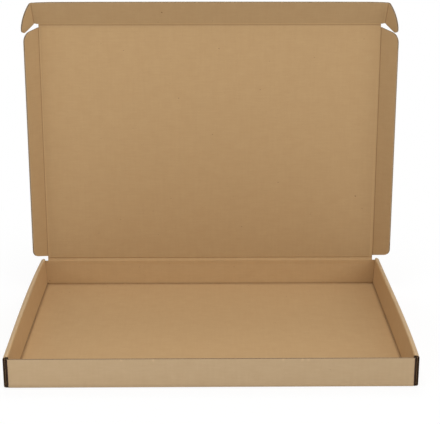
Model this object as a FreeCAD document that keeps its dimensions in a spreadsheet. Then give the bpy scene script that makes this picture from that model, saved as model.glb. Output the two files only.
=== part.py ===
import FreeCAD, Part
import math
import os
import Sketcher

# A flat mailer box, cut from one blank of thin fluted board and folded up with its lid open.
# Frame: X to the box's right, Y to the back, Z up. The tray stands on Z = 0 and is centred on X and Y.

os.makedirs("parts", exist_ok=True)
doc = FreeCAD.newDocument("MailerBox")
sheet = doc.addObject("Spreadsheet::Sheet", "Sizes")


# Sizes in millimetres, angles in degrees. Each one is written once, here.
SIZES = [
    ("board", 1.6, "thickness of the fluted board"),
    ("tray_width", 312.0, "outside width over both side walls"),
    ("tray_depth", 219.0, "outside depth over front and back wall"),
    ("wall_height", 25.8, "height of the rolled side walls"),
    ("lip_drop", 2.4, "how far the front wall's cut edge lies under the side walls' top"),
    ("slip", 0.2, "air between two layers of a side wall, and round a lock tab"),
    ("fold_gap", 0.15, "air between a fold's round back and the cut edge it turns in"),
    ("lift", 0.1, "air under the rolled-over panel and under the corner flaps"),
    ("fold_round", 1.2, "outer round of a folded edge"),
    ("corner_flap", 58.0, "length of the corner flaps hidden in the side walls"),
    ("tab_width", 52.0, "width of the lock tab at the foot of a rolled-over panel"),
    ("closing_gap", 0.3, "air between the closed tuck flap and the front wall"),
    ("lid_play", 1.8, "how far the lid's side creases lie inside the rolled side walls"),
    ("lid_lean", 1.0, "lean of the open lid to the back, in degrees"),
    ("dust_reach", 19.8, "width of a dust flap from its crease to its free edge"),
    ("dust_foot", 4.0, "start of a dust flap above the lid's crease"),
    ("dust_head", 2.1, "end of a dust flap under the tuck flap's crease"),
    ("dust_taper", 5.6, "how much each end of a dust flap slopes in over its width"),
    ("dust_round", 7.0, "corner round of a dust flap"),
    ("left_dust_fold", 52.5, "inward fold of the left dust flap, in degrees"),
    ("right_dust_fold", 44.0, "inward fold of the right dust flap, in degrees"),
    ("tuck_length", 22.9, "length of the tuck flap from its crease to its free edge"),
    ("tuck_fold", 20.5, "inward fold of the tuck flap, in degrees"),
    ("tuck_corner", 1.6, "drop of the tuck flap's free edge at its two ends"),
    ("ear_outset", 3.95, "distance of an ear's crease outside the lid's side crease"),
    ("ear_slant", 0.065, "sideways run of an ear's crease for each millimetre of its length"),
    ("ear_notch", 1.5, "height of the ear's start above the tuck flap's crease"),
    ("ear_reach", 16.2, "width of a lock ear from its crease to its tip"),
    ("ear_drop", 1.6, "how far an ear's tip hangs under the tuck flap's crease line"),
    ("ear_sweep", 26.0, "radius of an ear's long outer curve"),
    ("ear_tip_round", 3.4, "round of an ear's tip"),
    ("ear_fold", 52.0, "inward fold of both lock ears, in degrees"),
]


# One size together with the text that binds it to its cell in the sheet.
class Size:
    def __init__(self, value, text):
        self.value = float(value)
        self.text = text

    def __add__(self, other):
        other = as_size(other)
        return Size(self.value + other.value, "(%s + %s)" % (self.text, other.text))

    def __sub__(self, other):
        other = as_size(other)
        return Size(self.value - other.value, "(%s - %s)" % (self.text, other.text))

    def __mul__(self, other):
        other = as_size(other)
        return Size(self.value * other.value, "(%s * %s)" % (self.text, other.text))

    def __truediv__(self, other):
        other = as_size(other)
        return Size(self.value / other.value, "(%s / %s)" % (self.text, other.text))

    def __neg__(self):
        return Size(-self.value, "(-1 * %s)" % self.text)


def as_size(thing):
    return thing if isinstance(thing, Size) else Size(thing, repr(float(thing)))


def fill_sheet():
    sizes = {}
    sheet.set("A1", "name")
    sheet.set("B1", "size")
    sheet.set("C1", "meaning")
    for row, (name, value, meaning) in enumerate(SIZES, start=2):
        sheet.set("A%d" % row, name)
        sheet.set("B%d" % row, str(value))
        sheet.set("C%d" % row, meaning)
        sheet.setAlias("B%d" % row, name)
        sizes[name] = Size(value, "Sizes.%s" % name)
    doc.recompute()
    return sizes


size = fill_sheet()
board = size["board"]
half_board = board / 2
slip = size["slip"]
lift = size["lift"]
fold_round = size["fold_round"]
depth = size["tray_depth"]
height = size["wall_height"]
zero = as_size(0)

# Distances from the box's middle plane to the layers of a side wall, from the outside in.
wall_outside = size["tray_width"] / 2
wall_inside = wall_outside - board
flap_outside = wall_inside - slip
flap_inside = flap_outside - board
panel_outside = flap_inside - slip
panel_inside = panel_outside - board

# Front, back and the lid's two long creases.
front_inside = depth / 2 - board
front_top = height - size["lip_drop"]
hinge_back = depth / 2 - half_board
hinge_height = height - half_board
turn_gap = half_board + size["fold_gap"]
lid_crease = panel_inside - size["lid_play"]
lid_edge = lid_crease - turn_gap
lid_length = depth - board * 2 - size["closing_gap"]


# Helpers for bodies, sketches and features.

def new_body(name):
    body = doc.addObject("PartDesign::Body", name)
    body.Label = name
    return body


def plane_of(body, role):
    return [f for f in body.Origin.OriginFeatures if f.Role == role][0]


def new_sketch(body, name, role, rise=None):
    sketch = body.newObject("Sketcher::SketchObject", name)
    sketch.AttachmentSupport = (plane_of(body, role), [""])
    sketch.MapMode = "FlatFace"
    if rise is not None:
        sketch.setExpression("AttachmentOffset.Base.z", rise.text)
    return sketch


def bind(sketch, constraint, size_of):
    index = sketch.addConstraint(constraint)
    sketch.setExpression("Constraints[%d]" % index, size_of.text)


def fix_point(sketch, geometry, end, x, y):
    for axis, along, across in (("DistanceX", x, -2), ("DistanceY", y, -1)):
        if abs(along.value) < 1e-9:
            sketch.addConstraint(Sketcher.Constraint("PointOnObject", geometry, end, across))
        elif along.value > 0:
            bind(sketch, Sketcher.Constraint(axis, -1, 1, geometry, end, along.value), along)
        else:
            bind(sketch, Sketcher.Constraint(axis, geometry, end, -1, 1, -along.value), -along)


# A closed outline through points. A point may carry the radius of an arc to the next point:
# above nought the arc turns left, under nought it turns right.
def outline(sketch, points):
    points = [tuple(as_size(v) for v in p) for p in points]
    ends = []
    for here, there in zip(points, points[1:] + points[:1]):
        a = FreeCAD.Vector(here[0].value, here[1].value, 0)
        b = FreeCAD.Vector(there[0].value, there[1].value, 0)
        if len(here) == 2:
            ends.append((sketch.addGeometry(Part.LineSegment(a, b), False), 1, 2))
            continue
        radius = abs(here[2].value)
        side = 1 if here[2].value > 0 else -1
        chord = b - a
        reach = math.sqrt(max(radius ** 2 - (chord.Length / 2) ** 2, 0))
        across = FreeCAD.Vector(-chord.y, chord.x, 0).normalize()
        middle = (a + b) / 2 + across * (reach * side)
        start, stop = (a, b) if side > 0 else (b, a)
        first = math.atan2(start.y - middle.y, start.x - middle.x)
        last = math.atan2(stop.y - middle.y, stop.x - middle.x)
        circle = Part.Circle(middle, FreeCAD.Vector(0, 0, 1), radius)
        arc = sketch.addGeometry(Part.ArcOfCircle(circle, first, last), False)
        ends.append((arc, 1, 2) if side > 0 else (arc, 2, 1))
        bind(sketch, Sketcher.Constraint("Radius", arc, radius), here[2] if side > 0 else -here[2])
    for here, there in zip(ends, ends[1:] + ends[:1]):
        sketch.addConstraint(Sketcher.Constraint("Coincident", here[0], here[2], there[0], there[1]))
    for (geometry, end, _), point in zip(ends, points):
        fix_point(sketch, geometry, end, point[0], point[1])


# The same outline on both sides of the middle plane.
def twin_outline(sketch, points):
    outline(sketch, points)
    outline(sketch, [(-as_size(p[0]),) + tuple(p[1:]) for p in points])


def pad(body, sketch, name, length, both_ways=False):
    feature = body.newObject("PartDesign::Pad", name)
    feature.Profile = sketch
    feature.SideType = "Symmetric" if both_ways else "One side"
    feature.setExpression("Length", length.text)
    sketch.Visibility = False
    doc.recompute()
    return feature


# Rounds the straight edges of the body that lie along one axis and pass through given points.
def round_edges(body, name, axis, places, radius):
    base = body.Tip
    wanted = []
    for number, edge in enumerate(base.Shape.Edges, start=1):
        if edge.Curve.TypeId != "Part::GeomLine":
            continue
        a, b = edge.Vertexes[0].Point, edge.Vertexes[-1].Point
        along = b - a
        across = along - axis * along.dot(axis)
        if across.Length > 1e-6:
            continue
        for place in places:
            offset = a - FreeCAD.Vector(*[as_size(v).value for v in place])
            if (offset - axis * offset.dot(axis)).Length < 1e-4:
                wanted.append("Edge%d" % number)
                break
    feature = body.newObject("PartDesign::Fillet", name)
    feature.Base = (base, wanted)
    feature.setExpression("Radius", radius.text)
    doc.recompute()
    return feature


# The half-round back of a fold, in a plane square to the crease. toward is the side the flap
# lies on, first and last are where the fold starts and ends along the crease.
def fold_back(body, name, role, toward, first, last):
    flip = -1 if role == "XZ_Plane" else 1
    start = first if flip > 0 else -first
    sketch = new_sketch(body, name + "Section", role, start)
    quarter = math.pi / 2 if toward > 0 else -math.pi / 2
    circle = Part.Circle(FreeCAD.Vector(0, 0, 0), FreeCAD.Vector(0, 0, 1), half_board.value)
    arc = sketch.addGeometry(Part.ArcOfCircle(circle, quarter, quarter + math.pi), False)
    a, b = [FreeCAD.Vector(0, sign * half_board.value, 0) for sign in ((1, -1) if toward > 0 else (-1, 1))]
    line = sketch.addGeometry(Part.LineSegment(b, a), False)
    sketch.addConstraint(Sketcher.Constraint("Coincident", arc, 3, -1, 1))
    bind(sketch, Sketcher.Constraint("Radius", arc, half_board.value), half_board)
    sketch.addConstraint(Sketcher.Constraint("PointOnObject", arc, 1, -2))
    sketch.addConstraint(Sketcher.Constraint("PointOnObject", arc, 2, -2))
    sketch.addConstraint(Sketcher.Constraint("Coincident", arc, 2, line, 1))
    sketch.addConstraint(Sketcher.Constraint("Coincident", arc, 1, line, 2))
    feature = pad(body, sketch, name, last - first)
    if flip < 0:
        feature.Reversed = True
        doc.recompute()
    return feature


X = FreeCAD.Vector(1, 0, 0)
Y = FreeCAD.Vector(0, 1, 0)
Z = FreeCAD.Vector(0, 0, 1)


# The tray: base, front and back wall with their corner flaps, and the side walls, each rolled
# over its corner flaps and locked with a tab in a slot of the base.
def make_tray():
    body = new_body("tray")

    base = new_sketch(body, "BaseOutline", "XY_Plane")
    outline(base, [(-wall_inside, -front_inside), (wall_inside, -front_inside),
                   (wall_inside, front_inside), (-wall_inside, front_inside)])
    slot_end = size["tab_width"] / 2 + slip
    twin_outline(base, [(panel_inside - slip, -slot_end), (panel_outside + slip, -slot_end),
                        (panel_outside + slip, slot_end), (panel_inside - slip, slot_end)])
    pad(body, base, "Base", board)

    side = new_sketch(body, "SideSection", "XZ_Plane")
    twin_outline(side, [(wall_inside, zero), (wall_outside, zero), (wall_outside, height),
                        (panel_inside, height), (panel_inside, height - board),
                        (wall_inside, height - board)])
    pad(body, side, "SideWalls", depth, both_ways=True)

    panel = new_sketch(body, "PanelSection", "XZ_Plane")
    twin_outline(panel, [(panel_inside, board + lift), (panel_outside, board + lift),
                         (panel_outside, height - board), (panel_inside, height - board)])
    pad(body, panel, "RolledPanels", front_inside * 2 - slip * 2, both_ways=True)

    tab = new_sketch(body, "TabSection", "XZ_Plane")
    twin_outline(tab, [(panel_inside, slip), (panel_outside, slip),
                       (panel_outside, board + lift), (panel_inside, board + lift)])
    pad(body, tab, "LockTabs", size["tab_width"], both_ways=True)

    wall = new_sketch(body, "WallSection", "YZ_Plane")
    outline(wall, [(-depth / 2, zero), (-front_inside, zero),
                   (-front_inside, front_top), (-depth / 2, front_top)])
    back_top = hinge_height - turn_gap
    outline(wall, [(front_inside, zero), (depth / 2, zero),
                   (depth / 2, back_top), (front_inside, back_top)])
    wall_end = flap_outside - board
    pad(body, wall, "FrontAndBack", wall_end * 2, both_ways=True)

    flap = new_sketch(body, "CornerFlapOutline", "XY_Plane", board + lift)
    flap_end = depth / 2 - size["corner_flap"]
    for near, far, end in ((-front_inside, -depth / 2, -flap_end), (front_inside, depth / 2, flap_end)):
        twin_outline(flap, [(wall_end, far), (flap_outside, far), (flap_outside, end),
                            (flap_inside, end), (flap_inside, near)])
    pad(body, flap, "CornerFlaps", front_top - board - lift)

    round_edges(body, "CornerRounds", Z, [(sx * flap_outside.value, sy * depth.value / 2, 0)
                                          for sx in (-1, 1) for sy in (-1, 1)], fold_round)
    round_edges(body, "SideRounds", Y, [(sx * wall_outside.value, 0, z) for sx in (-1, 1)
                                        for z in (0, height.value)], fold_round)
    round_edges(body, "RollRounds", Y, [(sx * panel_inside.value, 0, height.value)
                                        for sx in (-1, 1)], fold_round)
    round_edges(body, "FootRounds", X, [(0, sy * depth.value / 2, 0) for sy in (-1, 1)], fold_round)
    return body


# The lid panel, drawn lying in its own plane: X across, Y from the hinge crease to the tuck crease.
def make_lid_panel():
    body = new_body("lid_panel")
    sketch = new_sketch(body, "LidOutline", "XY_Plane")
    outline(sketch, [(-lid_edge, zero), (lid_edge, zero),
                     (lid_edge, lid_length - turn_gap), (-lid_edge, lid_length - turn_gap)])
    pad(body, sketch, "LidPanel", board, both_ways=True)
    fold_back(body, "LidFold", "YZ_Plane", 1, -lid_edge, lid_edge)
    return body


# A dust flap. hand is -1 for the left one and 1 for the right one.
def make_dust_flap(name, hand):
    body = new_body(name)
    reach = size["dust_reach"]
    first = size["dust_foot"]
    last = lid_length - size["dust_head"]
    taper = size["dust_taper"]
    sketch = new_sketch(body, "FlapOutline", "XY_Plane")
    points = [(zero, first), (reach, first + taper), (reach, last - taper), (zero, last)]
    outline(sketch, [(p[0] * hand, p[1]) for p in points])
    pad(body, sketch, "FlapPanel", board, both_ways=True)
    fold_back(body, "FlapFold", "XZ_Plane", hand, first, last)
    round_edges(body, "FlapCorners", Z, [(hand * reach.value, (first + taper).value, 0),
                                         (hand * reach.value, (last - taper).value, 0)],
                size["dust_round"])
    return body


# The tuck flap, with ends cut along the slanting creases of the two lock ears.
def make_tuck_flap():
    body = new_body("tuck_flap")
    length = size["tuck_length"]
    notch = size["ear_notch"]
    slant = size["ear_slant"]
    corner = length - size["tuck_corner"]
    ear_crease = lid_crease + size["ear_outset"]
    end_low = ear_crease + slant * notch - turn_gap
    end_high = ear_crease + slant * corner - turn_gap
    fold_end = lid_edge + half_board
    sketch = new_sketch(body, "TuckOutline", "XY_Plane")
    right = [(fold_end, zero), (fold_end, notch), (end_low, notch), (end_high, corner),
             (end_high - size["tuck_corner"] * 2, length)]
    left = [(-x, y) for x, y in reversed(right)]
    outline(sketch, right + left)
    pad(body, sketch, "TuckPanel", board, both_ways=True)
    fold_back(body, "TuckFold", "YZ_Plane", 1, -fold_end, fold_end)
    return body


# A lock ear, drawn with its crease on the Y axis.
def make_ear(name, hand):
    body = new_body(name)
    reach = size["ear_reach"]
    notch = size["ear_notch"]
    top = size["tuck_length"] - size["tuck_corner"]
    shoulder = top / 8
    sweep = size["ear_sweep"]
    points = [(zero, notch), (reach * 0.43, -size["ear_drop"] / 2), (reach, -size["ear_drop"], sweep),
              (shoulder, top), (zero, top)]
    if hand < 0:
        points = [(zero, notch), (zero, top), (-shoulder, top, sweep), (-reach, -size["ear_drop"]),
                  (-reach * 0.43, -size["ear_drop"] / 2)]
    sketch = new_sketch(body, "EarOutline", "XY_Plane")
    outline(sketch, points)
    pad(body, sketch, "EarPanel", board, both_ways=True)
    fold_back(body, "EarFold", "XZ_Plane", hand, notch, top)
    round_edges(body, "EarTip", Z, [(hand * reach.value, -size["ear_drop"].value, 0),
                                    (hand * shoulder.value, top.value, 0)], size["ear_tip_round"])
    return body


# Places a flap on the panel it folds from: a step along that panel, then the turn at the crease.
def fold_up(body, on, step, axis, angle, turn_first=None):
    place = "placement(vector(%s; %s; %s); rotation(vector(%s); %s))" % (
        step[0].text, step[1].text, step[2].text, axis, angle.text)
    if turn_first is not None:
        first = "placement(vector(%s; %s; %s); rotation(vector(0; 0; 1); %s))" % (
            step[0].text, step[1].text, step[2].text, turn_first)
        place = first + " * placement(vector(0; 0; 0); rotation(vector(%s); %s))" % (axis, angle.text)
    if on is not None:
        place = "%s.Placement * %s" % (on.Name, place)
    body.setExpression("Placement", place)
    doc.recompute()


tray = make_tray()
lid_panel = make_lid_panel()
fold_up(lid_panel, None, (zero, hinge_back, hinge_height), "1; 0; 0", as_size(90) - size["lid_lean"])

left_dust_flap = make_dust_flap("left_dust_flap", -1)
fold_up(left_dust_flap, lid_panel, (-lid_crease, zero, zero), "0; 1; 0", size["left_dust_fold"])
right_dust_flap = make_dust_flap("right_dust_flap", 1)
fold_up(right_dust_flap, lid_panel, (lid_crease, zero, zero), "0; 1; 0", -size["right_dust_fold"])

tuck_flap = make_tuck_flap()
fold_up(tuck_flap, lid_panel, (zero, lid_length, zero), "1; 0; 0", size["tuck_fold"])

ear_place = lid_crease + size["ear_outset"]
left_lock_ear = make_ear("left_lock_ear", -1)
fold_up(left_lock_ear, tuck_flap, (-ear_place, zero, zero), "0; 1; 0", size["ear_fold"],
        "atan(Sizes.ear_slant)")
right_lock_ear = make_ear("right_lock_ear", 1)
fold_up(right_lock_ear, tuck_flap, (ear_place, zero, zero), "0; 1; 0", -size["ear_fold"],
        "-atan(Sizes.ear_slant)")

doc.recompute()
for thing in doc.Objects:
    if "Invalid" in thing.State or "Error" in thing.State:
        raise RuntimeError("%s did not build: %s" % (thing.Name, thing.State))

for body in (tray, lid_panel, left_dust_flap, right_dust_flap, tuck_flap, left_lock_ear, right_lock_ear):
    shape = body.Shape
    if shape.isNull() or not shape.isValid() or len(shape.Solids) != 1:
        raise RuntimeError("%s is not one sound solid" % body.Label)
    shape.exportStep("parts/%s.step" % body.Label)
    box = shape.BoundBox
    print("%s volume %.0f mm3, X %.1f..%.1f Y %.1f..%.1f Z %.1f..%.1f" % (
        body.Label, shape.Volume, box.XMin, box.XMax, box.YMin, box.YMax, box.ZMin, box.ZMax))
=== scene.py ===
# %% [markdown]
# # A folded cardboard mailer box, shown open
#
# The real object is one sheet of thin brown fluted board, cut and creased flat
# and then folded into a shallow tray with a lid. The lid stands up behind the
# tray, with two dust flaps at its sides and a tuck flap with two rounded lock
# ears at its far end. This lesson dresses the exact CAD model of that box: every
# panel is built again as real board, with two paper skins, a wavy paper between
# them and soft folds, at the very place where the CAD model has it.
#
# First the fixed frame is loaded. It holds the CAD parts and their joints, and
# nothing in it is moved.

# %% Load the frame
import math

import bpy
import numpy as np
from mathutils import Matrix, Vector


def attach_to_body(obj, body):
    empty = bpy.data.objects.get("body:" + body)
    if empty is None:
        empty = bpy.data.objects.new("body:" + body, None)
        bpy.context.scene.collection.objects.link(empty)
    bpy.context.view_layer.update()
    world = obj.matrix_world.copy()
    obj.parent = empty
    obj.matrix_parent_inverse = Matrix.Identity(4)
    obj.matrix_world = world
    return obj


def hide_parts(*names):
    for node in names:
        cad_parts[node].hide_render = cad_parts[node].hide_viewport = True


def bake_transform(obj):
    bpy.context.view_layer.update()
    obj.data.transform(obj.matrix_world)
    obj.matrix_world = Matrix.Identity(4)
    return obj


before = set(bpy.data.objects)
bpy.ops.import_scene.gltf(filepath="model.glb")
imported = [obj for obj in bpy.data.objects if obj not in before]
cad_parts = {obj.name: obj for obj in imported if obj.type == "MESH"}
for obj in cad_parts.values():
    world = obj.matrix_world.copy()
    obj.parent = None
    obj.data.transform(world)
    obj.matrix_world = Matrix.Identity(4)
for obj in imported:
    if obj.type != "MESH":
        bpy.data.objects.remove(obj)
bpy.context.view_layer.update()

# %% [markdown]
# ## The camera
#
# The camera comes first, because every later look goes through it. A straight
# guess by eye would put the corners off by several pixels. Here the place, the
# tilt and the lens were worked out beforehand from the box's corners, so they
# are plain numbers. The picture is 440 pixels wide and the sensor 36 mm, so a
# focal length in pixels turns into one in millimetres by 36 / 440.

# %% Camera
def look_through(place, pitch, yaw, roll, focal_pixels):
    """A camera at `place`, looking along +Y at zero angles, angles in degrees."""
    p, y, r = (math.radians(v) for v in (pitch, yaw, roll))
    ahead = Vector((-math.sin(y) * math.cos(p), math.cos(y) * math.cos(p), -math.sin(p)))
    right = Vector((math.cos(y), math.sin(y), 0))
    up = right.cross(ahead)
    right, up = right * math.cos(r) + up * math.sin(r), up * math.cos(r) - right * math.sin(r)
    data = bpy.data.cameras.new("camera")
    data.sensor_width = 36
    data.lens = focal_pixels * 36 / 440
    data.clip_start, data.clip_end = 0.05, 20
    cam = bpy.data.objects.new("camera", data)
    bpy.context.scene.collection.objects.link(cam)
    turn = Matrix((right, up, -ahead)).transposed().to_4x4()
    cam.matrix_world = Matrix.Translation(place) @ turn
    return cam


camera = look_through((-0.00313, -0.92525, 0.39214), 17.2638, -0.6645, 0.0471, 1187.93)
bpy.context.scene.camera = camera
print("lens in mm:", round(camera.data.lens, 2))

# %% [markdown]
# ## Sizes
#
# All sizes are in millimetres, because a box maker thinks in them, and the mesh
# builder turns them into metres. The board is 1.6 mm thick: two skins of
# 0.25 mm and a wave of thinner paper between them. That is a fine flute, about
# 3.3 mm from crest to crest. The same numbers shape the CAD model, so each
# panel lands where its solid is.

# %% Sizes in mm
BOARD, SKIN, WAVE, PITCH = 1.6, 0.25, 0.2, 3.3
WIDTH, DEPTH, WALL_TOP = 312.0, 219.0, 25.8
LIP_TOP = 23.4                      # the front wall stops below the side walls
BACK_TOP = 24.05                    # the back wall's top beside the hinge
OUTER_X = WIDTH / 2 - BOARD / 2     # middle of the outer side wall
FLAP_X = 153.4                      # middle of the corner flap inside the side wall
INNER_X = 151.6                     # middle of the rolled-over inner panel
HALF_DEPTH = DEPTH / 2              # the side walls' ends
WALL_Y = HALF_DEPTH - BOARD / 2     # middle of the front and back walls
HINGE = np.array([0.0, WALL_Y, 25.0])
LEAN = math.radians(1.0)
LID_LONG = 215.5                    # from the hinge to the tuck crease
LID_SIDE = 149.0                    # from the middle to a dust flap's crease
print("board", BOARD, "mm, tray", WIDTH, "x", DEPTH, "x", WALL_TOP, "mm")

# %% [markdown]
# ## A fold is a rounded corner of a line
#
# Board never folds to a knife edge: its outer skin runs round a small arc. Each
# row of panels is described by the line that the middle of the board follows
# when it is seen end on. The corners of the line are rounded, and any distance
# along it gives a point and the side that the inner skin is on. Drawing the arcs
# point by point would do too, but a line with a rule for its corners lets one
# helper serve every fold of the box.

# %% A line with rounded corners
class FoldedLine:
    """Points in a plane, joined by straight runs with rounded corners."""

    def __init__(self, points, radii):
        pts = [np.array(p, float) for p in points]
        radii = [0] + (list(radii) if np.ndim(radii) else [radii] * (len(pts) - 2))
        self.runs, self.folds = [], []
        at, here, self.length = 0.0, pts[0], 0.0
        for k in range(1, len(pts)):
            way = (pts[k] - pts[k - 1]) / np.linalg.norm(pts[k] - pts[k - 1])
            stop = pts[k]
            if k < len(pts) - 1:
                nxt = (pts[k + 1] - pts[k]) / np.linalg.norm(pts[k + 1] - pts[k])
                turn = math.atan2(way[0] * nxt[1] - way[1] * nxt[0], way @ nxt)
                radius = radii[k]
                stop = pts[k] - way * radius * math.tan(abs(turn) / 2)
            span = float((stop - here) @ way)
            self.runs.append((at, at + span, here, way, 0.0))
            at += span
            if k < len(pts) - 1:
                arc = radius * abs(turn)
                self.runs.append((at, at + arc, stop, way, turn / arc))
                self.folds.append((at, at + arc))
                at += arc
                here = pts[k] + nxt * radius * math.tan(abs(turn) / 2)
        self.length = at

    def at(self, s):
        """Points and left-hand normals at the distances s, in mm."""
        s = np.asarray(s, float)
        p, n = np.zeros(s.shape + (2,)), np.zeros(s.shape + (2,))
        for k, (a, b, start, way, bend) in enumerate(self.runs):
            here = (s >= a if k else s > -1e9) & (s < b if k < len(self.runs) - 1 else s < 1e9)
            d = (s - a)[here]
            if bend:
                turned = bend * d
                side = np.array([-way[1], way[0]])
                along, aside = np.sin(turned) / bend, (1 - np.cos(turned)) / bend
                p[here] = start + along[:, None] * way + aside[:, None] * side
                ahead = np.cos(turned)[:, None] * way + np.sin(turned)[:, None] * side
            else:
                p[here] = start + d[:, None] * way
                ahead = np.repeat(way[None], len(d), 0)
            n[here] = np.stack([-ahead[:, 1], ahead[:, 0]], 1)
        return p, n

    def stops(self, step, fine=0.25):
        """Distances along the line, close together in the folds."""
        out = [0.0]
        for a, b, _, _, bend in self.runs:
            n = max(1, math.ceil((b - a) / (fine if bend else step)))
            out += list(np.linspace(a, b, n + 1)[1:])
        return np.array(out)


square = FoldedLine([(0, 0), (5, 0), (5, 5)], 0.9)
print("a square fold of radius 0.9 mm is", round(square.folds[0][1] - square.folds[0][0], 2), "mm long")

# %% [markdown]
# ## The outline of a flap
#
# Flaps have slanted ends and rounded corners. The outline is given as corner
# points, each with the radius that the cutting rule rounds it by. Seen across
# the flutes, the outline gives every flute its own start and end, and that is
# all that the board builder needs to know.

# %% Outline helpers
def spun(v, angle):
    """The vector v, turned to the left by an angle in radians."""
    c, s = math.cos(angle), math.sin(angle)
    return np.array([c * v[0] - s * v[1], s * v[0] + c * v[1]])


def cut_outline(corners, steps=10):
    """(x, y, radius) corners, anticlockwise or not, as one closed run of points."""
    pts, n = [], len(corners)
    for k in range(n):
        before, here, after = (np.array(corners[i % n][:2], float) for i in (k - 1, k, k + 1))
        r = corners[k][2]
        if r <= 0:
            pts.append(here)
            continue
        a, b = ((end - here) / np.linalg.norm(end - here) for end in (before, after))
        half = math.acos(np.clip(a @ b, -1, 1)) / 2
        back = r / math.tan(half)
        middle = here + (a + b) / np.linalg.norm(a + b) * r / math.sin(half)
        first, last = here + a * back - middle, here + b * back - middle
        sweep = math.atan2(first[0] * last[1] - first[1] * last[0], first @ last)
        pts += [middle + spun(first, sweep * f) for f in np.linspace(0, 1, steps + 1)]
    return np.array(pts)


def flute_ends(outline, s):
    """Where a flute at each distance s starts and ends inside the outline."""
    a, b = outline, np.roll(outline, -1, 0)
    low, high = np.full(len(s), 1e9), np.full(len(s), -1e9)
    for p, q in zip(a, b):
        if abs(q[0] - p[0]) < 1e-9:
            continue
        f = (s - p[0]) / (q[0] - p[0])
        y = p[1] + f * (q[1] - p[1])
        on = (f >= -1e-6) & (f <= 1 + 1e-6)
        low, high = np.where(on, np.minimum(low, y), low), np.where(on, np.maximum(high, y), high)
    return low, high


print("a rounded square has", len(cut_outline([(0, 0, 1), (9, 0, 1), (9, 9, 1), (0, 9, 1)])), "points")

# %% [markdown]
# ## Building fluted board
#
# On the real box a panel is a sandwich: an outer skin, a wave of paper and an
# inner skin. From a distance a flat slab with a texture would pass, but at the
# raw edges one sees into the flutes, and that is what tells board from wood. So
# the builder makes both skins as grids, and at each open end of the flutes the
# two skin edges, the wave itself for a few millimetres and a dark stop behind
# it. Edges that run along the flutes show a shallow groove between the skins.
#
# `surface(s, t)` gives the middle of the board and its inner side for every
# distance s across the flutes and t along them. Each grid keeps its place on the
# flat uncut sheet as its UV map, so the paper's pattern runs on over the folds.

# %% Grids that become one mesh
# SHADED is a finish of painted shade, nearly black, for the crushed ends and corners
INNER, OUTER, EDGE, FLUTE, SHADED = range(5)
OTHER_SIDE = 3000       # mm on the UV map between the two skins, so that their patterns differ


class BoardMesh:
    """Collects grids of points, each with a finish, as one mesh in metres."""

    def __init__(self):
        self.points, self.quads, self.finish, self.uv, self.fold, self.count = [], [], [], [], [], 0

    def grid(self, p, flat, fold, finish, flip):
        """Adds a grid of points p, with its place on the flat sheet and its marks of creases and painted shade."""
        n, m = p.shape[:2]
        index = self.count + np.arange(n * m).reshape(n, m)
        q = np.stack([index[:-1, :-1], index[1:, :-1], index[1:, 1:], index[:-1, 1:]], -1).reshape(-1, 4)
        self.quads.append(q[:, ::-1] if flip else q)
        self.points.append(p.reshape(-1, 3))
        self.uv.append(flat.reshape(-1, 2))
        self.fold.append(np.broadcast_to(fold, (n, m)).reshape(-1))
        self.finish.append(np.full(len(q), finish))
        self.count += n * m

    def build(self, name, finishes):
        pts, quads = np.concatenate(self.points) / 1000, np.concatenate(self.quads)
        mesh = bpy.data.meshes.new(name)
        mesh.from_pydata(pts.tolist(), [], quads.tolist())
        uv = np.concatenate(self.uv)[quads.reshape(-1)] / 1000
        mesh.uv_layers.new(name="flat_sheet").data.foreach_set("uv", uv.reshape(-1))
        mesh.attributes.new("fold", "FLOAT", "POINT").data.foreach_set("value", np.concatenate(self.fold))
        mesh.polygons.foreach_set("material_index", np.concatenate(self.finish))
        mesh.polygons.foreach_set("use_smooth", np.ones(len(quads), bool))
        for m in finishes:
            mesh.materials.append(m)
        mesh.update()
        piece = bpy.data.objects.new(name, mesh)
        bpy.context.scene.collection.objects.link(piece)
        return piece


# %% [markdown]
# The sheet builder puts the grids together. `press` gives four values for every
# place: how far the inner and the outer skin are pressed in there, as the
# creasing rule does, and how darkly each of them is marked, at creases and with
# painted shade where one part shades another. `low`, `high`, `start` and `end`
# say what each of the four sides is: `open` flutes, a `groove` along a flute, or
# nothing where the sheet runs on into its neighbour.

# %% The sheet builder
FLUTE_DEEP = 7.0            # how far one can look into a flute
WAVE_BACK = 0.12            # a clean cut leaves the wave just behind the skins' edges
CRUSHED_BACK = 0.5          # a crushed end leaves it deeper
GROOVE = 0.35               # the groove at a cut along a flute


def no_press(s, t):
    return (np.zeros_like(s),) * 4


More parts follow.
